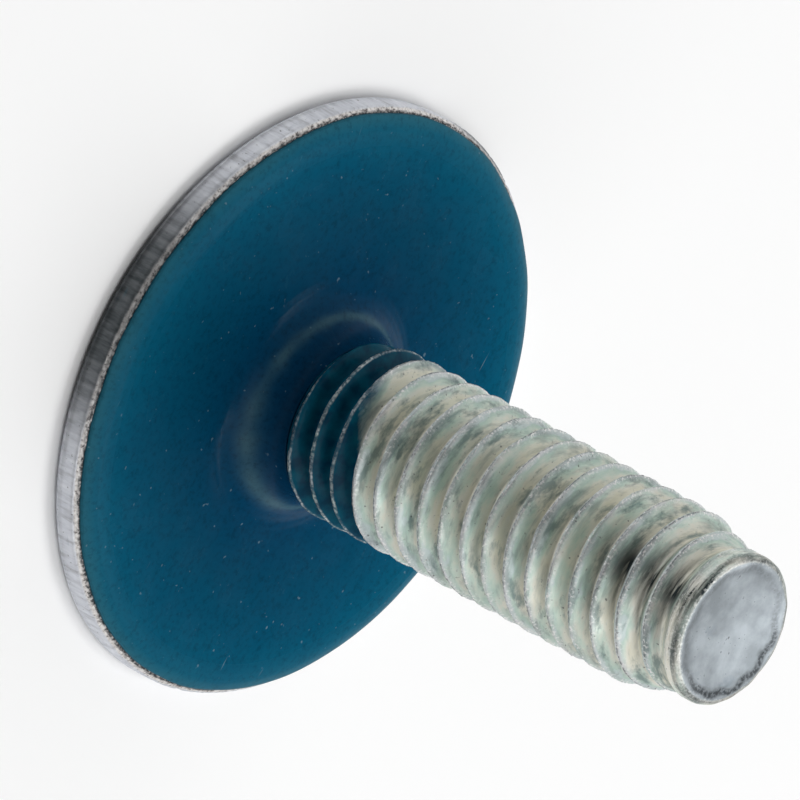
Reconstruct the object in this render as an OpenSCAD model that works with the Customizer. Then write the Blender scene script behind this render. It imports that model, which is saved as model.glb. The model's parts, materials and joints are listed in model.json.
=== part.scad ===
// Sealed bolt: a zinc-plated steel bolt with a thin, flat round head, and a
// moulded seal bonded to the underside of the head and round the foot of the thread.
// The bolt stands on the outer face of its head, at z = 0, with the shank along +Z.
// Heights named "above the seat" are counted from the underside of the head.

/* [Head] */
// Diameter of the flat round head
head_d = 26.2; // [22:0.1:40]
// Thickness of the head
head_t = 1.3; // [1:0.1:3]
// Rounding of the rim at the outer face
head_round = 0.35; // [0.1:0.05:0.5]
// Bevel of the rim at the underside
head_bevel = 0.2; // [0.05:0.05:0.3]

/* [Shank] */
// Length of the shank under the head, tip included
shank_l = 25; // [18:1:50]
// Diameter over the crests of the rolled thread
thread_d = 7.9; // [6:0.05:12]
// Distance from one turn of the thread to the next
pitch = 1.25; // [0.8:0.05:1.5]
// Height over which the thread rises out of the plain neck
run_in = 0.45; // [0.2:0.05:1]
// Steps that make one turn of the helix
steps = 16; // [12:2:24]

/* [Tip] */
// Length of the plain pilot at the end
pilot_l = 0.7; // [0.5:0.05:3]
// Length of the narrow point before the pilot, which still carries the thread's roots
point_l = 0.9; // [0.2:0.1:3]
// Depth of the pilot's wall under the crests of the thread
pilot_step = 0.65; // [0.4:0.01:1]
// Length of the taper from the thread down to the point
taper_l = 2.2; // [0.8:0.1:4]
// Rounding of the pilot's end
pilot_round = 0.3; // [0.1:0.05:0.35]
// Width of the raised rim around the dished end face
dish_rim = 0.4; // [0.4:0.05:1]
// Depth of the dished end face
dish_depth = 0.3; // [0.1:0.05:0.45]

/* [Seal] */
// Width of bare steel left around the seal
seal_inset = 0.25; // [0.2:0.05:1]
// Thickness of the seal's flat ring
seal_t = 0.45; // [0.3:0.05:1]
// Width over which the seal thins towards its outer edge
edge_w = 1; // [0.4:0.1:2]
// Thickness left at the seal's outer edge
edge_t = 0.15; // [0.05:0.01:0.25]
// Height of the collar above the seat, where it meets the thread
collar_h = 2.6; // [1.2:0.1:4]
// Width of the hollow sweep from the neck out to the flat ring
collar_w = 2.3; // [1.6:0.1:5]

/* [Hidden] */
$fn = 96;

// Rim and seat of the head
head_r = head_d / 2;
seat_z = head_t;

// Basic profile of a metric thread: sixty degree flanks, narrow crests, wider roots
flank_angle = 30;
thread_depth = 0.6134 * pitch;
crest_w = pitch / 8;
flank_w = thread_depth * tan(flank_angle);
root_w = pitch - crest_w - 2 * flank_w;
crest_r = thread_d / 2;
root_r = crest_r - thread_depth;

// A thread is rolled from a blank of about its pitch diameter, which the neck keeps
neck_r = crest_r - 0.3248 * pitch;

// The thread's steps lie as rings on a plain core. Every second step is lower at the
// crest by a hair, so that each step keeps a round wall of its own there.
crest_ease = 0.004;
core_r = root_r - thread_depth / 4;
ring_r = root_r - thread_depth / 2;
step_angle = 360 / steps;

// Heights along the shank
end_z = seat_z + shank_l;
thread_z = seat_z + collar_h;
pilot_z = end_z - pilot_l;
point_z = pilot_z - point_l;
turns = ceil((pilot_z - thread_z) / pitch) + 2;

// Pilot and its dished end
pilot_r = crest_r - pilot_step;
dish_r = pilot_r - dish_rim;
dish_ball_r = (dish_r * dish_r + dish_depth * dish_depth) / (2 * dish_depth);

// Seal, with the arc of its thinned edge and the arc of its hollow collar. The collar's arc
// runs out level on the flat ring, or straight up the neck where the collar is taller than wide.
seal_r = head_r - seal_inset;
flat_r = seal_r - edge_w;
edge_drop = seal_t - edge_t;
edge_arc_r = (edge_w * edge_w + edge_drop * edge_drop) / (2 * edge_drop);
collar_r = neck_r + collar_w;
collar_rise = collar_h - seal_t;
collar_is_wide = collar_w >= collar_rise;
collar_arc_r = (collar_w * collar_w + collar_rise * collar_rise) / (2 * min(collar_w, collar_rise));
collar_arc_at = collar_is_wide ? [collar_r, seal_t + collar_arc_r] : [neck_r + collar_arc_r, collar_h];

// Half section of the head: rounded below, bevelled above
module head_section() {
    translate([head_r - head_round, head_round])
        circle(r = head_round);
    square([head_r - head_round, head_t]);
    polygon([
        [0, head_round],
        [head_r, head_round],
        [head_r, head_t - head_bevel],
        [head_r - head_bevel, head_t],
        [0, head_t]
    ]);
}

// One tooth of the thread's section, from the foot of its root to the end of its crest
function tooth(z, r) = [
    [root_r, z],
    [root_r, z + root_w],
    [r, z + root_w + flank_w],
    [r, z + root_w + flank_w + crest_w]
];

// One step of the helix: a comb of teeth turned through the step's angle
module thread_step(i) {
    foot = thread_z - 2 * pitch + i * pitch / steps;
    top = foot + (turns + 1) * pitch;
    step_r = crest_r - (i % 2) * crest_ease;
    rotate_extrude(angle = step_angle, start = i * step_angle)
        polygon([
            [ring_r, foot],
            for (k = [0 : turns]) each tooth(foot + k * pitch, step_r),
            [root_r, top],
            [ring_r, top]
        ]);
}

// What the thread keeps: it rises out of the neck, tapers to the point and ends at the pilot
module thread_limits() {
    wide_r = 2 * crest_r;
    rise_slope = run_in / (crest_r - neck_r);
    taper_slope = taper_l / pilot_step;
    rotate_extrude()
        polygon([
            [0, thread_z],
            [neck_r, thread_z],
            [wide_r, thread_z + (wide_r - neck_r) * rise_slope],
            [wide_r, point_z - (wide_r - pilot_r) * taper_slope],
            [pilot_r, point_z],
            [pilot_r, pilot_z],
            [0, pilot_z]
        ]);
}

// Right-hand helical thread
module thread() {
    intersection() {
        thread_limits();
        union() {
            for (i = [0 : steps - 1]) thread_step(i);
        }
    }
}

// Plain pilot with a rounded, dished end
module pilot() {
    difference() {
        rotate_extrude() {
            square([pilot_r - pilot_round, end_z]);
            square([pilot_r, end_z - pilot_round]);
            translate([pilot_r - pilot_round, end_z - pilot_round])
                circle(r = pilot_round);
        }
        cylinder(r = head_r, h = pilot_z);
        translate([0, 0, end_z + dish_ball_r - dish_depth])
            sphere(r = dish_ball_r);
    }
}

// The bolt is one piece of cold-formed steel
module bolt() {
    color([0.72, 0.74, 0.71]) {
        rotate_extrude() head_section();
        cylinder(r = neck_r, h = thread_z);
        cylinder(r = core_r, h = pilot_z);
        thread();
        pilot();
    }
}

// Half section of the seal, standing on the seat
module seal_section() {
    translate([neck_r, 0])
        square([flat_r - neck_r, seal_t]);
    translate([flat_r, 0])
        intersection() {
            square([edge_w, seal_t]);
            translate([0, seal_t - edge_arc_r])
                circle(r = edge_arc_r);
        }
    difference() {
        translate([neck_r, 0])
            square([collar_w, collar_h]);
        translate(collar_arc_at)
            circle(r = collar_arc_r);
    }
}

// The seal is one moulded layer with a hollow collar that climbs to the thread
module seal() {
    color([0.02, 0.29, 0.42])
        translate([0, 0, seat_z])
            rotate_extrude() seal_section();
}

bolt();
seal();
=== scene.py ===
"""Looks of a sealed bolt: zinc-plated steel with a blue seal moulded under its flat round head."""
import json
import math

import bpy
import numpy as np
from mathutils import Matrix, Vector


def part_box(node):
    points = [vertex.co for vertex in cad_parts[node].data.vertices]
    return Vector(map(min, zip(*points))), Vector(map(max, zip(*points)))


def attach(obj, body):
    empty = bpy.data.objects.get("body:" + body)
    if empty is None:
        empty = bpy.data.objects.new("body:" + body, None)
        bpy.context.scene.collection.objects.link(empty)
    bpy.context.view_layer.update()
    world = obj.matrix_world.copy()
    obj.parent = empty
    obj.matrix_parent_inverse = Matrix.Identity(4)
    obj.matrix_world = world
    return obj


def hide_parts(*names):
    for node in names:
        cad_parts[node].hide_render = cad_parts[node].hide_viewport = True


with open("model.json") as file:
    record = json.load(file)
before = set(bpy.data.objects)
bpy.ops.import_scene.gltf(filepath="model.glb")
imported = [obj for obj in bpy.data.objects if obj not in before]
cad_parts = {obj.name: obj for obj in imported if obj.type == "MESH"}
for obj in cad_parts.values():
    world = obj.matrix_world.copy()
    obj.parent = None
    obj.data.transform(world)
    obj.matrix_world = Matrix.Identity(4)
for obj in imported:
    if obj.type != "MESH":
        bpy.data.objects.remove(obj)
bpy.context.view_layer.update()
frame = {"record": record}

MM = 0.001
rng = np.random.default_rng(8)

# Sizes from the frame, in millimetres
mounts = {m["name"]: m for m in frame["record"]["mounts"]}
bolt_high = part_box("bolt")[1] / MM
seal_low, seal_high = (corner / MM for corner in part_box("seal"))
HEAD_R = bolt_high.x
END_Z = bolt_high.z
SEAL_R = seal_high.x
SEAT_Z = seal_low.z
COLLAR_Z = seal_high.z
FACE_Z = mounts["seal_face"]["pos_m"][2] / MM
CREST_R = mounts["thread"]["dims"]["r_mm"]
THREAD_MID = mounts["thread"]["pos_m"][2] / MM
THREAD_HALF = mounts["thread"]["dims"]["length_mm"] / 2
FULL_Z = THREAD_MID - THREAD_HALF
TAPER_Z = THREAD_MID + THREAD_HALF

# Sizes that the frame doesn't state, in millimetres and degrees, as the part's source has them
PITCH = 1.25
HELIX_STEPS = 16
FLANK_ANGLE = 30
TAPER_L = 2.2
POINT_L = 0.9
PILOT_STEP = 0.65
PILOT_ROUND = 0.3
DISH_RIM = 0.4
DISH_DEPTH = 0.3
HEAD_ROUND = 0.35
HEAD_BEVEL = 0.2
EDGE_W = 1.0
EDGE_T = 0.15
COLLAR_W = 2.3

# What follows from them, with the basic profile of a metric thread, in millimetres
THREAD_DEPTH = 0.6134 * PITCH
CREST_W = PITCH / 8
FLANK_W = THREAD_DEPTH * math.tan(math.radians(FLANK_ANGLE))
ROOT_W = PITCH - CREST_W - 2 * FLANK_W
ROOT_R = CREST_R - THREAD_DEPTH
NECK_R = CREST_R - 0.3248 * PITCH
PILOT_R = CREST_R - PILOT_STEP
POINT_Z = TAPER_Z + TAPER_L
PILOT_Z = POINT_Z + POINT_L
DISH_R = PILOT_R - DISH_RIM

# Heights between which the thread begins, gets painted shade and soil, loses its marks and sinks away, in
# millimetres
THREAD_BEGINS = (COLLAR_Z - 0.05, COLLAR_Z + 0.3)
SHADE_AND_SOIL_BEGINS = (TAPER_Z - 2.4, TAPER_Z + 0.2)
MARKS_END = (PILOT_Z - 0.5, PILOT_Z)
THREAD_SINKS = (PILOT_Z - 0.3, PILOT_Z)

# Roundings of the rolled thread, in millimetres: filled roots, and crests with a shallow seam
ROOT_FILL = 0.05
ROOT_HOLLOW = 0.015
SHOULDER_DROP = 0.085
CREST_DROP = 0.025
SEAM_DEPTH = 0.02

# Unevenness of the thread, in millimetres: deeper roots on the taper, waves, grain and wandering crests
FLUTE = 0.2
THREAD_WAVES = 0.008
CREST_GRAIN = 0.010
CREST_INSET = 0.006
WANDER = 0.03

# Where the blue film on the thread ends, in millimetres: height, lean round the axis, raggedness and fade
FILM_Z = 7.25
FILM_LEAN = 0.85
FILM_RAGGED = 0.2
FILM_FADE = 0.6

# Unevenness of the head's rim, in millimetres
RIM_INSET = 0.012
RIM_SWELL = 0.006
WALL_SCORES = 0.01
BEVEL_INSET = 0.03
BEVEL_ROUGH = 0.012
BURR = 0.03

# Wear of the pilot's end, in millimetres, and the power of its dish's curve
END_WEAR = 0.13
END_BUMPS = 0.008
DISH_BUMPS = 0.010
DISH_POWER = 2.4
WORN_Z = END_Z - END_WEAR

# Plain rings of the bolt's mesh, in millimetres: on its outer face, under the seal, on neck and pilot
OUTER_FACE_RINGS = (3, 8, 11.5)
COVERED_R = SEAL_R - 0.6
STITCH_R = 0.75 * SEAL_R
NECK_RING_Z = COLLAR_Z - 1.5 * PITCH
PILOT_RING_Z = WORN_Z - PILOT_ROUND - 0.05

# Rings of the dish as shares of its radius, closer together near its edge
DISH_SHARES = np.array([1.0, 0.97, 0.94, 0.9, 0.85, 0.78, 0.7, 0.6, 0.5, 0.4, 0.3, 0.2, 0.1, 0.04])

# Unevenness of the seal, and the ring of painted highlight round its collar, in millimetres
SEAL_WAVES = 0.010
SEAL_RAGGED = 0.02
SEAL_SHRINK = 0.03
HIGHLIGHT_R = 4.25
HIGHLIGHT_W = 0.15

# Dark places on the rim's wall, painted shade on the camera's side and stains elsewhere: angle, spread and
# depth
RIM_SHADE_AND_STAINS = ((-0.5 * math.pi, 0.2, 1.0), (0.9, 0.2, 0.6), (2.9, 0.1, 0.8))

# Dark places in the last valleys of the thread, painted shade on the camera's side and soil elsewhere:
# angle, spread and depth
TIP_SHADE_AND_SOIL = ((-1.72, 0.26, 0.65), (-1.7, 0.1, 0.45), (0.7, 0.2, 0.6), (2.6, 0.12, 0.8))

# Angles, round the axis, of the pilot's side darkened by painted shade, of the dish's side with the darker
# painted shade, and of the painted highlight's broad side
PILOT_SHADED_SIDE = -2.1
DISH_SHADED_SIDE = 0.8
HIGHLIGHT_BROAD_SIDE = -0.8

# Values marked at the bolt's points, and what a plain surface has of the first two
BOLT_MARKS = ("lift", "crest", "seam", "film", "soil", "shear", "wall", "stain", "edge", "face")
PLAIN_LIFT = 0.5
PLAIN_CREST = 0.25

# Fineness of the meshes
COLUMNS = 240
RIM_COLUMNS = 3 * COLUMNS
SEAL_COLUMNS = 480


def smoothstep(low, high, x):
    t = np.clip((x - low) / (high - low), 0, 1)
    return t * t * (3 - 2 * t)


def angles(columns):
    return np.arange(columns) * 2 * math.pi / columns


def waves(angle, height, count, around, along):
    """Smooth unevenness of a turned surface, mostly between -1 and 1.

    It sums a count of waves, each with up to so many crests around a turn and radians along the height.
    """
    total = np.zeros(np.broadcast(angle, height).shape)
    for _ in range(count):
        k = rng.integers(-around, around + 1)
        total += np.sin(k * angle + rng.uniform(-along, along) * height + rng.uniform(0, 2 * math.pi))
    return total / math.sqrt(count)


def spots(angle, places, power):
    """Soft spots round the axis, each with its angle, spread and depth; a high power has steep sides."""
    total = 0.0
    for at, spread, depth in places:
        total = total + depth * np.exp(-(np.sin((angle - at) / 2) / spread) ** power)
    return total


class Shell:
    """A closed mesh around the Z axis, gathered ring by ring, with values marked at its points."""

    def __init__(self, *marks):
        self.points, self.faces, self.count = [], [], 0
        self.marks = {m: [] for m in marks}

    def add(self, points, **marks):
        points = np.asarray(points, float).reshape(-1, 3)
        start = self.count
        self.count += len(points)
        self.points.append(points)
        for name, values in self.marks.items():
            values.append(np.broadcast_to(marks.get(name, 0.0), len(points)))
        return np.arange(start, self.count)

    def ring(self, radius, height, columns, **marks):
        a = angles(columns)
        radius = np.broadcast_to(radius, columns)
        height = np.broadcast_to(height, columns)
        return self.add(np.stack([radius * np.cos(a), radius * np.sin(a), height], 1), **marks)

    def band(self, low, high):
        """Joins two rings of the same number of points."""
        self.faces += np.stack([low, np.roll(low, -1), np.roll(high, -1), high], 1).tolist()

    def bands(self, rings):
        for low, high in zip(rings, rings[1:]):
            self.band(low, high)

    def stitch(self, fine, coarse):
        """Joins a fine ring to a coarser one, whose points it has a whole number of times."""
        ratio = len(fine) // len(coarse)
        half = ratio // 2
        for i, (a, b) in enumerate(zip(coarse.tolist(), np.roll(coarse, -1).tolist())):
            run = [int(fine[(i * ratio + j) % len(fine)]) for j in range(ratio + 1)]
            self.faces += [[p, q, a] for p, q in zip(run[:half + 1], run[1:half + 1])]
            self.faces.append([run[half], b, a])
            self.faces += [[p, q, b] for p, q in zip(run[half:], run[half + 1:])]

    def cap(self, ring, height, upward, **marks):
        """Closes a ring by a fan of faces around a point on the axis."""
        centre = int(self.add([[0, 0, height]], **marks)[0])
        for a, b in zip(ring.tolist(), np.roll(ring, -1).tolist()):
            self.faces.append([a, b, centre] if upward else [b, a, centre])

    def build(self, name):
        mesh = bpy.data.meshes.new(name)
        mesh.from_pydata((np.concatenate(self.points) * MM).tolist(), [], self.faces)
        for mark, values in self.marks.items():
            attribute = mesh.attributes.new(mark, "FLOAT", "POINT")
            attribute.data.foreach_set("value", np.concatenate(values).astype(np.float32))
        mesh.polygons.foreach_set("use_smooth", [True] * len(mesh.polygons))
        mesh.update()
        piece = bpy.data.objects.new(name, mesh)
        bpy.context.scene.collection.objects.link(piece)
        return piece


# Bolt

def thread_section():
    """One turn's section from the foot of its root: heights, radii, and marks for crest and seam."""
    crest_z = ROOT_W + FLANK_W
    middle = crest_z + CREST_W / 2
    root = [
        (0, ROOT_R + ROOT_FILL, 0, 0),
        (0.25 * ROOT_W, ROOT_R + ROOT_HOLLOW, 0, 0),
        (0.50 * ROOT_W, ROOT_R, 0, 0),
        (0.75 * ROOT_W, ROOT_R + ROOT_HOLLOW, 0, 0),
        (ROOT_W, ROOT_R + ROOT_FILL, 0, 0),
    ]
    rise = [
        (ROOT_W + 0.35 * FLANK_W, ROOT_R + 0.35 * THREAD_DEPTH, 0, 0),
        (ROOT_W + 0.70 * FLANK_W, ROOT_R + 0.70 * THREAD_DEPTH, 0, 0),
        (ROOT_W + 0.92 * FLANK_W, CREST_R - SHOULDER_DROP, 0.5, 0),
        (crest_z + 0.12 * CREST_W, CREST_R - CREST_DROP, 1, 0),
        (crest_z + 0.36 * CREST_W, CREST_R, 1, 0.5),
    ]
    seam = (middle, CREST_R - SEAM_DEPTH, 1, 1)
    fall = [(2 * middle - z, *rest) for z, *rest in reversed(rise)]
    return np.array([*root, *rise, seam, *fall], float).T


def film_at(angle, height):
    """How far the seal's compound coats the thread: fully on the first turns, then fading out unevenly."""
    edge = FILM_Z + FILM_LEAN * np.cos(angle) + FILM_RAGGED * waves(angle, height, 10, 9, 3)
    return 1 - smoothstep(edge - FILM_FADE, edge + FILM_FADE, height)


def thread_strip():
    """The helical strip's points, in rows along the thread and columns round it, and their marks."""
    offset, radius, crest, seam = thread_section()
    per_turn = len(offset)
    # The solid's helix climbs in steps, and the strip runs through their middles.
    first = COLLAR_Z - PITCH - PITCH / (2 * HELIX_STEPS)
    turns = math.ceil((PILOT_Z - first) / PITCH)
    j = np.arange(turns * per_turn)[:, None]
    k = j % per_turn
    angle = angles(COLUMNS)[None, :]
    height = first + (j // per_turn) * PITCH + offset[k] + PITCH * angle / (2 * math.pi)
    # Over the plain pilot the last rows lie close together, so that the strip ends nearly level.
    squeeze = 0.06
    height = np.where(height > PILOT_Z, PILOT_Z + squeeze * (height - PILOT_Z), height)
    # The section follows the taper, and rises out of the neck at its start.
    lift = (radius[k] - ROOT_R) / THREAD_DEPTH
    taper = PILOT_R + (CREST_R - PILOT_R) * (POINT_Z - height) / (POINT_Z - TAPER_Z)
    top = np.clip(taper, PILOT_R, CREST_R)
    foot = ROOT_R - FLUTE * smoothstep(TAPER_Z, POINT_Z, height)
    r = foot + lift * (top - foot) + THREAD_WAVES * waves(angle, height, 24, 9, 6)
    r = r + crest[k] * (CREST_GRAIN * rng.standard_normal(r.shape) - CREST_INSET)
    r = np.minimum(r, NECK_R + (CREST_R - NECK_R) * (height - COLLAR_Z) / (FULL_Z - COLLAR_Z))
    begun = smoothstep(*THREAD_BEGINS, height)
    r = NECK_R + (r - NECK_R) * begun
    r = r + (PILOT_R - r) * smoothstep(*THREAD_SINKS, height)
    plain = smoothstep(*MARKS_END, height)
    going = begun * (1 - plain)
    height = height + WANDER * lift * going * waves(angle, height, 40, 10, 5)
    points = np.stack([r * np.cos(angle), r * np.sin(angle), height], -1)
    near_tip = smoothstep(*SHADE_AND_SOIL_BEGINS, height)
    marks = {
        "lift": PLAIN_LIFT + (lift - PLAIN_LIFT) * going,
        "crest": crest[k] * going + PLAIN_CREST * plain,
        "seam": seam[k] * going,
        "film": film_at(angle, height),
        # Painted shade and soil, darker in the valleys: the dark places on the camera's side are painted
        # shade, the rest soil.
        "soil": spots(angle, TIP_SHADE_AND_SOIL, 2) * (1 - 0.8 * lift * going) * near_tip,
    }
    return points, {name: np.broadcast_to(values, r.shape).ravel() for name, values in marks.items()}


def add_thread(shell, below, above):
    """The helical strip, joined to a ring below it and a ring above it."""
    points, marks = thread_strip()
    index = shell.add(points, **marks).reshape(points.shape[:2])
    per_turn = len(thread_section()[0])
    last = COLUMNS - 1
    quads = np.stack([index[:-1, :-1], index[:-1, 1:], index[1:, 1:], index[1:, :-1]], -1)
    shell.faces += quads.reshape(-1, 4).tolist()
    closing = [index[:-1 - per_turn, last], index[per_turn:-1, 0],
               index[per_turn + 1:, 0], index[1:-per_turn, last]]
    shell.faces += np.stack(closing, -1).tolist()
    shell.faces += np.stack([below[:-1], below[1:], index[0, 1:], index[0, :-1]], -1).tolist()
    shell.faces += np.stack([index[-1, :-1], index[-1, 1:], above[1:], above[:-1]], -1).tolist()
    # The strip's first and last turn end in a step at the last column, which a fan of faces closes.
    low = [below[0], *index[:per_turn + 1, 0], index[0, last]]
    shell.faces += [[int(below[last]), int(a), int(b)] for a, b in zip(low, low[1:])]
    high = [index[-1, 0], *index[-1 - per_turn:, last], above[last]]
    shell.faces += [[int(above[0]), int(b), int(a)] for a, b in zip(high, high[1:])]


def add_head(shell):
    """The flat head with its rim, from the outer face's centre to the neck; returns the neck's ring."""
    a = angles(RIM_COLUMNS)
    rim_r = HEAD_R - RIM_INSET + RIM_SWELL * waves(a, 0, 6, 7, 1)
    # The first dark place, on the camera's side, is painted shade; the others are stains. Both also dim
    # the chipped bevel.
    stain = spots(a, RIM_SHADE_AND_STAINS, 4)
    rings = [shell.ring(r, 0, RIM_COLUMNS, lift=PLAIN_LIFT) for r in OUTER_FACE_RINGS]
    for t in np.linspace(0, math.pi / 2, 7):
        r = rim_r - HEAD_ROUND * (1 - math.sin(t))
        z = HEAD_ROUND * (1 - math.cos(t))
        rings.append(shell.ring(r, z, RIM_COLUMNS, wall=1.0, stain=stain))
    bevel_z = SEAT_Z - HEAD_BEVEL
    for t in (0.0, 0.35, 0.7, 1.0):
        r = rim_r - WALL_SCORES * waves(a, 0, 40, 160, 1) ** 2
        z = HEAD_ROUND + t * (bevel_z - HEAD_ROUND)
        rings.append(shell.ring(r, z, RIM_COLUMNS, wall=1.0, stain=stain))
    for t in (0.15, 0.4, 0.6, 0.8, 1.0):
        rough = waves(a, 0, 40, 200, 1) + 0.6 * rng.standard_normal(RIM_COLUMNS)
        r = HEAD_R - BEVEL_INSET - t * HEAD_BEVEL + BEVEL_ROUGH * rough
        z = bevel_z + t * HEAD_BEVEL + BEVEL_ROUGH * waves(a, 0, 40, 200, 1)
        z = np.minimum(z, SEAT_Z + BURR)
        # On the bevel's inner side, next to the seal, a jagged line of painted shade in the gap, speckled
        # like torn metal.
        shear = smoothstep(0.65, 0.95, t + 0.12 * waves(a, 0, 40, 200, 1))
        edge = smoothstep(0.1, 0.45, t) * (1 - 0.5 * stain)
        rings.append(shell.ring(r, z, RIM_COLUMNS, wall=1.0, shear=shear, stain=stain, edge=edge))
    rings.append(shell.ring(COVERED_R, SEAT_Z, RIM_COLUMNS, shear=1.0))
    shell.cap(rings[0], 0, False, lift=PLAIN_LIFT)
    shell.bands(rings)
    inner = shell.ring(STITCH_R, SEAT_Z, COLUMNS)
    neck = shell.ring(NECK_R, SEAT_Z, COLUMNS)
    shell.stitch(rings[-1], inner)
    shell.band(inner, neck)
    return neck


def add_pilot(shell, first):
    """The pilot's rounded end and its dished face, from the ring above the thread."""
    a = angles(COLUMNS)
    rings = [first]
    turns = np.linspace(0, math.pi / 2, 9)
    bumps = END_BUMPS * waves(a[None, :], turns[:, None], 14, 24, 2)
    grime = np.clip(0.35 + 0.25 * waves(a, 0, 10, 7, 1), 0, 0.8)
    # Painted shade darkens the pilot on one side, over random grime.
    wall_shade_and_soil = 0.8 * (grime + 0.5 * np.maximum(np.cos(a - PILOT_SHADED_SIDE), 0))
    for t, bump in zip(turns, bumps):
        r = PILOT_R - PILOT_ROUND * (1 - math.cos(t)) + bump
        z = WORN_Z - PILOT_ROUND * (1 - math.sin(t)) + bump
        face = smoothstep(1.3, 1.5, t)
        edge = 0.5 * smoothstep(0.9, 1.15, t) * (1 - face)
        # The rounded edge is darkened too, with painted shade that dulls its highlight.
        soil = wall_shade_and_soil * (1 - face) + 0.4 * edge
        rings.append(shell.ring(r, z, COLUMNS, lift=PLAIN_LIFT, crest=PLAIN_CREST,
                                edge=edge, face=face, soil=soil))
    shares = DISH_SHARES[:, None]
    hollows = DISH_BUMPS * shares * waves(a[None, :], 4 * shares, 12, 4, 1)
    # A dark, ragged line of painted shade runs round the dish near its edge, darker on one side.
    line = 0.94 + 0.04 * waves(a, 0, 20, 14, 1)
    line_depth = 0.3 + 0.65 * smoothstep(0.0, 0.8, np.cos(a - DISH_SHADED_SIDE))
    for share, hollow in zip(DISH_SHARES, hollows):
        z = WORN_Z - DISH_DEPTH * (1 - share ** DISH_POWER) + hollow
        shear = line_depth * (1 - smoothstep(0.02, 0.09, np.abs(share - line)))
        rings.append(shell.ring(share * DISH_R, z, COLUMNS, face=1.0, shear=shear))
    shell.bands(rings)
    shell.cap(rings[-1], WORN_Z - DISH_DEPTH, True, face=1.0)


def make_bolt():
    shell = Shell(*BOLT_MARKS)
    neck = add_head(shell)
    below = shell.ring(NECK_R, NECK_RING_Z, COLUMNS, film=1.0)
    shell.band(neck, below)
    # The same painted shade and soil on the ring above the thread.
    soil = spots(angles(COLUMNS), TIP_SHADE_AND_SOIL, 2)
    above = shell.ring(PILOT_R, PILOT_RING_Z, COLUMNS, lift=PLAIN_LIFT, crest=PLAIN_CREST, soil=soil)
    add_thread(shell, below, above)
    add_pilot(shell, above)
    return shell.build("bolt_body")


# Seal

def seal_section():
    """The seal's half section from the top of its collar out to its edge, as radius and height."""
    rise = COLLAR_Z - FACE_Z
    sweep_r = (COLLAR_W ** 2 + rise ** 2) / (2 * rise)
    foot = NECK_R + COLLAR_W
    points = []
    for t in np.linspace(math.asin(COLLAR_W / sweep_r), 0, 28):
        points.append((foot - sweep_r * math.sin(t), FACE_Z + sweep_r * (1 - math.cos(t))))
    flat_r = SEAL_R - EDGE_W
    points += [(r, FACE_Z) for r in np.linspace(foot, flat_r, 16)[1:]]
    drop = FACE_Z - SEAT_Z - EDGE_T
    arc_r = (EDGE_W ** 2 + drop ** 2) / (2 * drop)
    for t in np.linspace(0, math.asin(EDGE_W / arc_r), 12)[1:]:
        points.append((flat_r + arc_r * math.sin(t), FACE_Z - arc_r * (1 - math.cos(t))))
    return points


def make_seal():
    shell = Shell("fold")
    a = angles(SEAL_COLUMNS)
    # The painted highlight round the collar is broader and lies further out on one side, and is stronger
    # at the sides seen from the camera.
    broad = np.maximum(np.cos(a - HIGHLIGHT_BROAD_SIDE), 0) ** 2
    highlight_r = HIGHLIGHT_R + 0.4 * HIGHLIGHT_W * broad
    highlight_w = HIGHLIGHT_W * (1 + 1.2 * broad + 0.15 * waves(a, 0, 10, 20, 1))
    highlight_share = np.clip(0.6 + 0.4 * np.abs(np.cos(a)) + 0.15 * waves(a, 0, 10, 20, 1), 0, 1)
    edge = SEAL_RAGGED * waves(a, 0, 14, 40, 1) - SEAL_SHRINK
    rings = []
    for r, z in seal_section():
        out = smoothstep(SEAL_R - EDGE_W, SEAL_R, r)
        z = z + SEAL_WAVES * waves(a, r, 8, 6, 1.5) * smoothstep(NECK_R, NECK_R + 1.5, r) * (1 - out)
        fold = highlight_share * np.exp(-((r - highlight_r) / highlight_w) ** 2)
        rings.append(shell.ring(r + out * edge, np.minimum(z, COLLAR_Z), SEAL_COLUMNS, fold=fold))
    rings.append(shell.ring(SEAL_R + edge, SEAT_Z, SEAL_COLUMNS))
    rings.append(shell.ring(NECK_R, SEAT_Z, SEAL_COLUMNS))
    rings.append(rings[0])
    shell.bands(rings[::-1])
    return shell.build("seal_body")


# Materials

def new_material(name):
    made = bpy.data.materials.new(name)
    made.use_nodes = True
    return made, made.node_tree, made.node_tree.nodes["Principled BSDF"]


def node(tree, kind, inputs=None, **settings):
    made = tree.nodes.new(kind)
    for key, value in settings.items():
        setattr(made, key, value)
    for key, value in (inputs or {}).items():
        if isinstance(value, bpy.types.NodeSocket):
            tree.links.new(value, made.inputs[key])
        else:
            made.inputs[key].default_value = value
    return made


def stretched(tree, vector, scale):
    return node(tree, "ShaderNodeVectorMath", {0: vector, 1: scale}, operation="MULTIPLY").outputs[0]


def noise(tree, place, scale, detail=2.0, roughness=0.5):
    """Noise with one scale, or with three scales along the axes."""
    if isinstance(scale, tuple):
        place, scale = stretched(tree, place, scale), 1.0
    inputs = {"Vector": place, "Scale": scale, "Detail": detail, "Roughness": roughness}
    return node(tree, "ShaderNodeTexNoise", inputs).outputs["Fac"]


def ramp(tree, value, *stops):
    """Colours, or shades of grey, at places between 0 and 1."""
    made = node(tree, "ShaderNodeValToRGB", {"Fac": value})
    band = made.color_ramp
    while len(band.elements) < len(stops):
        band.elements.new(1.0)
    for element, (place, colour) in zip(band.elements, stops):
        element.position = place
        element.color = (*colour, 1) if isinstance(colour, tuple) else (colour, colour, colour, 1)
    return made.outputs["Color"]


def mix(tree, share, low, high):
    made = node(tree, "ShaderNodeMix", data_type="RGBA")
    for key, value in ((0, share), (6, low), (7, high)):
        if isinstance(value, bpy.types.NodeSocket):
            tree.links.new(value, made.inputs[key])
        else:
            made.inputs[key].default_value = (*value, 1) if isinstance(value, tuple) else value
    return made.outputs[2]


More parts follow.
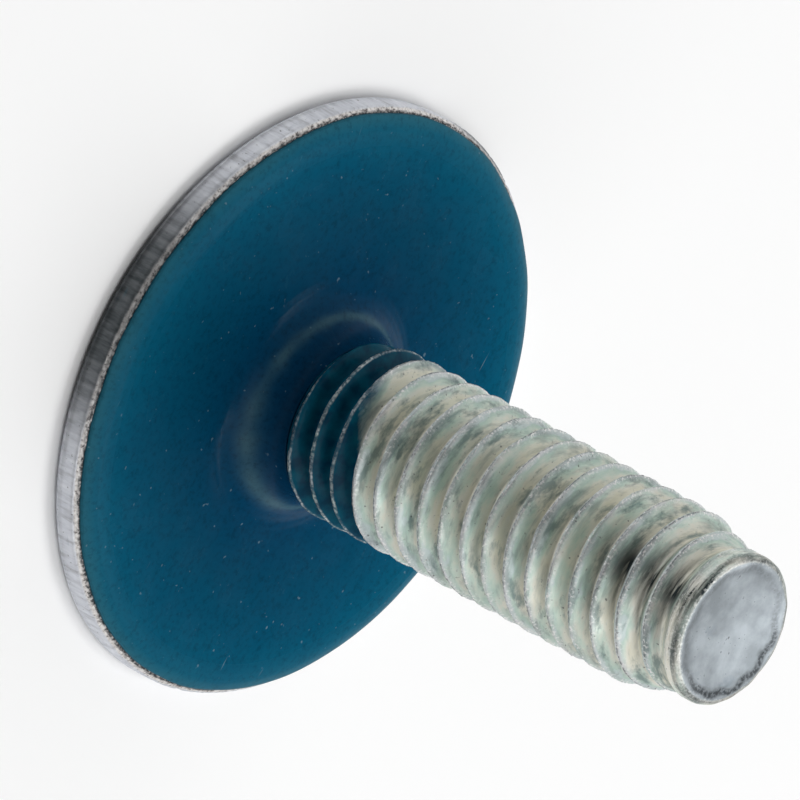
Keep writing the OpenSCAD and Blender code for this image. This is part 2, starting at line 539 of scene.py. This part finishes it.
def maths(tree, operation, *values):
    return node(tree, "ShaderNodeMath", dict(enumerate(values)), operation=operation).outputs[0]


def product(tree, first, second):
    return maths(tree, "MULTIPLY", first, second)


def marked(tree, name):
    return node(tree, "ShaderNodeAttribute", attribute_name=name).outputs["Fac"]


def bumpy(tree, bsdf, height, strength, distance):
    bump = node(tree, "ShaderNodeBump", {"Height": height, "Strength": strength, "Distance": distance})
    tree.links.new(bump.outputs["Normal"], bsdf.inputs["Normal"])


# Share of metal in the bare plate, and roughness of matt steel and of the film
METALLIC = 0.7
MATT = 0.55
GLOSSY = 0.2

# Colours of the zinc plate from the root of the thread to its crest: yellow, green, then grey; the lighter
# roots and darker upper flanks are partly painted light and shade
PLATE_TINTS_AND_PAINTED_LIGHT = ((0.0, (0.79, 0.77, 0.65)), (0.35, (0.79, 0.79, 0.70)), (0.6, (0.66, 0.75, 0.67)),
               (0.85, (0.53, 0.67, 0.60)), (1.0, (0.60, 0.69, 0.68)))
DARK_STREAK = (0.21, 0.27, 0.26)
LIGHT_STREAK = (0.82, 0.83, 0.78)
DARK_PATCH = (0.20, 0.27, 0.26)
# The crests are greyer and flecked white, partly from wear and partly as painted highlight.
CREST_WEAR_AND_SHEEN = (0.80, 0.79, 0.81)
CREST_WEAR_AND_GLINT = (0.95, 0.95, 0.93)
SEAM_DARK = (0.09, 0.10, 0.11)
PIT_DARK = (0.08, 0.08, 0.08)
# The next colour darkens the painted shade and soil in the tip's valleys.
SHADE_AND_SOIL_DARK = (0.025, 0.033, 0.036)

# Colours of the rim's scored wall, the chipped edges, the pilot's face, the rim's painted shade and
# stains, and torn metal with painted shade by the seal and round the dish
WALL_TINTS = ((0.30, (0.48, 0.49, 0.52)), (0.48, (0.66, 0.68, 0.73)), (0.68, (0.78, 0.80, 0.84)))
CHIP_TINTS = ((0.34, (0.17, 0.155, 0.15)), (0.43, (0.60, 0.57, 0.55)), (0.6, (0.86, 0.84, 0.82)))
FACE_TINTS = ((0.35, (0.27, 0.30, 0.32)), (0.65, (0.42, 0.46, 0.49)))
SHADE_AND_STAIN_DARK = (0.06, 0.07, 0.075)
SHADE_AND_TORN_DARK = (0.045, 0.05, 0.055)

# Colours of the blue film, of the seal from its collar to its edge, of marks on the seal, and of the
# painted highlight round its collar
FILM_TINTS = ((0.35, (0.0008, 0.050, 0.098)), (0.65, (0.0022, 0.098, 0.160)))
SEAL_TINTS = ((0.30, (0.0006, 0.043, 0.108)), (0.45, (0.0008, 0.049, 0.108)),
              (0.65, (0.0010, 0.060, 0.119)), (0.80, (0.0012, 0.072, 0.137)),
              (0.90, (0.0014, 0.087, 0.157)), (0.98, (0.004, 0.104, 0.174)))
THIN_EDGE = (0.020, 0.122, 0.176)
SPECK_PALE = (0.25, 0.36, 0.42)
HIGHLIGHT_PALE = (0.045, 0.115, 0.160)


def plate_tint(tree, place, marks, streaks):
    """The zinc plate's colour on the shank, with streaks, patches and greyer crests; its lighter roots and
    darker flanks are partly painted light and shade, and the greyer crests partly painted sheen.
    """
    drift = maths(tree, "SUBTRACT", noise(tree, place, (350, 350, 1500), 4, 0.6), 0.5)
    # By the height in the turn: lighter in the roots and darker up the flanks, partly painted light and
    # shade.
    tint = ramp(tree, maths(tree, "MULTIPLY_ADD", drift, 2.8, marks["lift"]), *PLATE_TINTS_AND_PAINTED_LIGHT)
    tint = mix(tree, ramp(tree, streaks, (0.50, 0.0), (0.72, 0.65)), tint, DARK_STREAK)
    tint = mix(tree, ramp(tree, streaks, (0.28, 0.7), (0.44, 0.0)), tint, LIGHT_STREAK)
    patches = noise(tree, place, (480, 480, 2300), 5, 0.65)
    tint = mix(tree, ramp(tree, patches, (0.53, 0.0), (0.64, 0.8)), tint, DARK_PATCH)
    # Greyer crests: partly wear, partly painted sheen.
    worn_and_sheen = ramp(tree, noise(tree, place, 800, 3), (0.35, 0.15), (0.65, 0.75))
    return mix(tree, product(tree, marks["crest"], worn_and_sheen), tint, CREST_WEAR_AND_SHEEN)


def rim_and_end_tint(tree, place, marks, tint):
    """The given colour, changed on the rim's scored wall, which painted shade and stains darken, on the
    pilot's face and on the edges.
    """
    scores = noise(tree, place, (3000, 3000, 500), 4, 0.65)
    # Painted shade on the camera's side and stains elsewhere darken the scored wall.
    shaded_and_stained = product(tree, marks["stain"], ramp(tree, scores, (0.34, 1.0), (0.62, 0.88)))
    wall = mix(tree, shaded_and_stained, ramp(tree, scores, *WALL_TINTS), SHADE_AND_STAIN_DARK)
    tint = mix(tree, marks["wall"], tint, wall)
    tint = mix(tree, marks["face"], tint, ramp(tree, noise(tree, place, 650, 4, 0.6), *FACE_TINTS))
    return mix(tree, marks["edge"], tint, ramp(tree, noise(tree, place, 6000, 3, 0.6), *CHIP_TINTS))


def worn_tint(tree, place, marks, streaks, tint):
    """The given colour, with painted shade and soil, pits, bright flecks of wear and painted glint on the
    crests, their dark seam, and torn metal with painted shade.
    """
    # Painted shade and soil in the tip's valleys.
    shaded_and_soiled = product(tree, marks["soil"], ramp(tree, streaks, (0.40, 0.25), (0.54, 1.0)))
    tint = mix(tree, shaded_and_soiled, tint, SHADE_AND_SOIL_DARK)
    pits = ramp(tree, noise(tree, place, 5200, 2), (0.68, 0.0), (0.76, 1.0))
    tint = mix(tree, product(tree, pits, 0.7), tint, PIT_DARK)
    # White flecks on the crests: partly wear, partly painted glint.
    worn_and_glint_flecks = ramp(tree, noise(tree, place, 8500, 1), (0.55, 0.0), (0.63, 0.95))
    tint = mix(tree, product(tree, marks["crest"], worn_and_glint_flecks), tint, CREST_WEAR_AND_GLINT)
    crumbs = ramp(tree, noise(tree, place, 7000, 2), (0.38, 0.0), (0.54, 1.0))
    broken = ramp(tree, noise(tree, place, 420, 2), (0.38, 0.0), (0.54, 0.9))
    tint = mix(tree, product(tree, marks["seam"], product(tree, broken, crumbs)), tint, SEAM_DARK)
    # Painted shade by the seal's edge and round the dish's edge, speckled like torn metal.
    torn_and_shaded = product(tree, marks["shear"], maths(tree, "MULTIPLY_ADD", crumbs, 0.5, 0.5))
    return mix(tree, torn_and_shaded, tint, SHADE_AND_TORN_DARK)


def film_cover(tree, place, marks):
    """How far the blue film covers the plate: washed out towards its end, rubbed through on the crests."""
    wash = noise(tree, place, (500, 500, 2200), 4, 0.65)
    thin = maths(tree, "MULTIPLY_ADD", wash, 1.2, maths(tree, "SUBTRACT", marks["film"], 0.6))
    fine = ramp(tree, noise(tree, place, 6500, 2), (0.42, 0.2), (0.60, 0.9))
    coarse = ramp(tree, noise(tree, place, 900, 2), (0.38, 0.25), (0.60, 1.0))
    crest = ramp(tree, marks["crest"], (0.55, 0.0), (1.0, 1.0))
    rubbed = product(tree, crest, product(tree, fine, coarse))
    return product(tree, ramp(tree, thin, (0.15, 0.0), (0.75, 1.0)), maths(tree, "SUBTRACT", 1.0, rubbed))


def zinc():
    """Zinc plate with a faint green and yellow passivation, and the blue film on the first turns."""
    made, tree, bsdf = new_material("zinc_plate")
    place = node(tree, "ShaderNodeTexCoord").outputs["Object"]
    marks = {name: marked(tree, name) for name in BOLT_MARKS}
    streaks = noise(tree, place, (450, 450, 3800), 4, 0.65)
    tint = plate_tint(tree, place, marks, streaks)
    tint = rim_and_end_tint(tree, place, marks, tint)
    tint = worn_tint(tree, place, marks, streaks, tint)
    film = film_cover(tree, place, marks)
    tint = mix(tree, film, tint, ramp(tree, noise(tree, place, 1500, 3), *FILM_TINTS))
    tree.links.new(tint, bsdf.inputs["Base Color"])
    tree.links.new(maths(tree, "MULTIPLY_ADD", film, -METALLIC, METALLIC), bsdf.inputs["Metallic"])
    matt = maths(tree, "MAXIMUM", maths(tree, "MAXIMUM", marks["face"], marks["edge"]), marks["wall"])
    rough = ramp(tree, noise(tree, place, 900, 3), (0.3, 0.40), (0.7, 0.55))
    rough = mix(tree, matt, rough, (MATT, MATT, MATT))
    tree.links.new(mix(tree, film, rough, (GLOSSY, GLOSSY, GLOSSY)), bsdf.inputs["Roughness"])
    bsdf.inputs["Specular IOR Level"].default_value = 0.06
    bumpy(tree, bsdf, noise(tree, place, (1500, 1500, 5000), 4, 0.6), 0.35, 0.04 * MM)
    return made


def compound():
    """Blue sealing compound, lighter towards its thin edge, where the steel shows through it, with a
    painted highlight round its collar.
    """
    made, tree, bsdf = new_material("seal_compound")
    place = node(tree, "ShaderNodeTexCoord").outputs["Object"]
    flat = stretched(tree, place, (1, 1, 0))
    radius = node(tree, "ShaderNodeVectorMath", {0: flat}, operation="LENGTH").outputs["Value"]
    reach = maths(tree, "DIVIDE", radius, SEAL_R * MM)
    cloud = maths(tree, "SUBTRACT", noise(tree, place, 180, 4, 0.6), 0.5)
    colour = ramp(tree, maths(tree, "ADD", reach, product(tree, cloud, 0.2)), *SEAL_TINTS)
    edge = maths(tree, "ADD", reach, product(tree, cloud, 0.04))
    colour = mix(tree, ramp(tree, edge, (0.96, 0.0), (1.0, 1.0)), colour, THIN_EDGE)
    specks = ramp(tree, noise(tree, place, 3800, 1), (0.745, 0.0), (0.80, 1.0))
    colour = mix(tree, product(tree, specks, 0.35), colour, SPECK_PALE)
    scratches = ramp(tree, noise(tree, place, (500, 5200, 500), 1), (0.765, 0.0), (0.82, 0.35))
    on_ring = ramp(tree, reach, (0.55, 0.0), (0.6, 1.0))
    colour = mix(tree, product(tree, scratches, on_ring), colour, SPECK_PALE)
    # A pale ring round the collar is a painted highlight.
    colour = mix(tree, marked(tree, "fold"), colour, HIGHLIGHT_PALE)
    grain = noise(tree, place, 4200, 3, 0.7)
    colour = stretched(tree, colour, ramp(tree, grain, (0.3, 0.72), (0.5, 0.98), (0.7, 1.04)))
    tree.links.new(colour, bsdf.inputs["Base Color"])
    rough = ramp(tree, noise(tree, place, 600, 4), (0.35, 0.2), (0.7, 0.3))
    rough = maths(tree, "MAXIMUM", rough, ramp(tree, reach, (0.80, 0.0), (0.96, 0.45)))
    tree.links.new(rough, bsdf.inputs["Roughness"])
    bsdf.inputs["Specular IOR Level"].default_value = 0.04
    bumpy(tree, bsdf, noise(tree, place, 700, 3), 0.05, 0.05 * MM)
    return made


def dress(piece, material, node_name):
    piece.data.materials.append(material)
    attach(piece, "root")
    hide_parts(node_name)


dress(make_bolt(), zinc(), "bolt")
dress(make_seal(), compound(), "seal")


# Camera, as the photograph's outlines give it: the image is 800 by 800 points
IMAGE_PX = 800
SENSOR_MM = 36
CAMERA_AZIMUTH = 0.0
CAMERA_ELEVATION = 37.4
CAMERA_ROLL = 118.1
CAMERA_DISTANCE = 0.8
CLIP_START, CLIP_END = 0.05, 10
PX_PER_MM = 24.46
AIM_Z = 13.2
AIM_PX = (507.3, 510.8)


def direction(azimuth, elevation):
    """Unit vector to a place, at an azimuth counted from the camera and an elevation, in degrees."""
    a, e = math.radians(CAMERA_AZIMUTH + azimuth), math.radians(elevation)
    return Vector((math.sin(a) * math.cos(e), -math.cos(a) * math.cos(e), math.sin(e)))


def make_camera():
    back = direction(0, CAMERA_ELEVATION)
    level = Vector((0, 0, 1)).cross(back).normalized()
    upright = back.cross(level)
    roll = math.radians(CAMERA_ROLL)
    right = math.cos(roll) * level + math.sin(roll) * upright
    up = math.cos(roll) * upright - math.sin(roll) * level
    across = (IMAGE_PX / 2 - AIM_PX[0]) / PX_PER_MM
    above = (AIM_PX[1] - IMAGE_PX / 2) / PX_PER_MM
    data = bpy.data.cameras.new("camera")
    data.sensor_width = SENSOR_MM
    data.lens = SENSOR_MM * PX_PER_MM * CAMERA_DISTANCE / MM / IMAGE_PX
    data.clip_start, data.clip_end = CLIP_START, CLIP_END
    camera = bpy.data.objects.new("camera", data)
    camera.matrix_world = Matrix((right, up, back)).transposed().to_4x4()
    aim = Vector((0, 0, AIM_Z)) + right * across + up * above
    camera.location = aim * MM + back * CAMERA_DISTANCE
    bpy.context.scene.collection.objects.link(camera)
    bpy.context.scene.camera = camera


# Floor and light, in metres

FLOOR_HALF = 1.5
FLOOR_Z = -0.02 * MM


def make_floor():
    mesh = bpy.data.meshes.new("floor")
    corners = [(-1, -1), (1, -1), (1, 1), (-1, 1)]
    mesh.from_pydata([(x * FLOOR_HALF, y * FLOOR_HALF, FLOOR_Z) for x, y in corners], [], [[0, 1, 2, 3]])
    floor = bpy.data.objects.new("floor", mesh)
    bpy.context.scene.collection.objects.link(floor)
    made, _, bsdf = new_material("floor_paper")
    bsdf.inputs["Base Color"].default_value = (0.97, 0.97, 0.97, 1)
    bsdf.inputs["Roughness"].default_value = 0.9
    mesh.materials.append(made)


def make_lamp(name, azimuth, elevation, distance, width, height, radiance):
    """A soft box that faces the bolt, placed by its direction from the camera's side."""
    light = bpy.data.lights.new(name, "AREA")
    light.shape = "RECTANGLE"
    light.size, light.size_y = width, height
    light.energy = radiance * math.pi * width * height
    lamp = bpy.data.objects.new(name, light)
    bpy.context.scene.collection.objects.link(lamp)
    back = direction(azimuth, elevation)
    lamp.location = back * distance + Vector((0, 0, THREAD_MID * MM))
    lamp.rotation_mode = "QUATERNION"
    lamp.rotation_quaternion = (-back).to_track_quat("-Z", "Y")
    lamp.visible_camera = False


def make_world():
    """A grey studio, light along a low horizon behind the bolt, dim overhead and on the camera's side."""
    world = bpy.data.worlds.new("studio")
    world.use_nodes = True
    tree = world.node_tree
    toward = node(tree, "ShaderNodeTexCoord").outputs["Generated"]
    axes = node(tree, "ShaderNodeSeparateXYZ", {0: toward}).outputs
    rear = maths(tree, "MULTIPLY_ADD", axes["Y"], 0.5, 0.5)
    by_height = ramp(tree, axes["Z"], (0.0, 1.0), (0.2, 0.85), (0.42, 0.45), (0.55, 0.10), (1.0, 0.08))
    by_side = ramp(tree, rear, (0.0, 0.10), (0.5, 0.7), (1.0, 1.0))
    tree.links.new(product(tree, by_height, by_side), tree.nodes["Background"].inputs["Color"])
    bpy.context.scene.world = world


make_floor()
make_world()
make_lamp("back_box", azimuth=180, elevation=63, distance=0.6, width=0.28, height=0.28, radiance=5.9)
make_lamp("left_box", azimuth=-106, elevation=49, distance=0.5, width=0.56, height=0.48, radiance=0.80)
make_lamp("right_box", azimuth=100, elevation=52, distance=0.5, width=0.56, height=0.56, radiance=0.56)
make_lamp("top_box", azimuth=80, elevation=70, distance=0.5, width=0.40, height=0.40, radiance=1.65)
make_camera()
bpy.context.scene.view_settings.view_transform = "Standard"
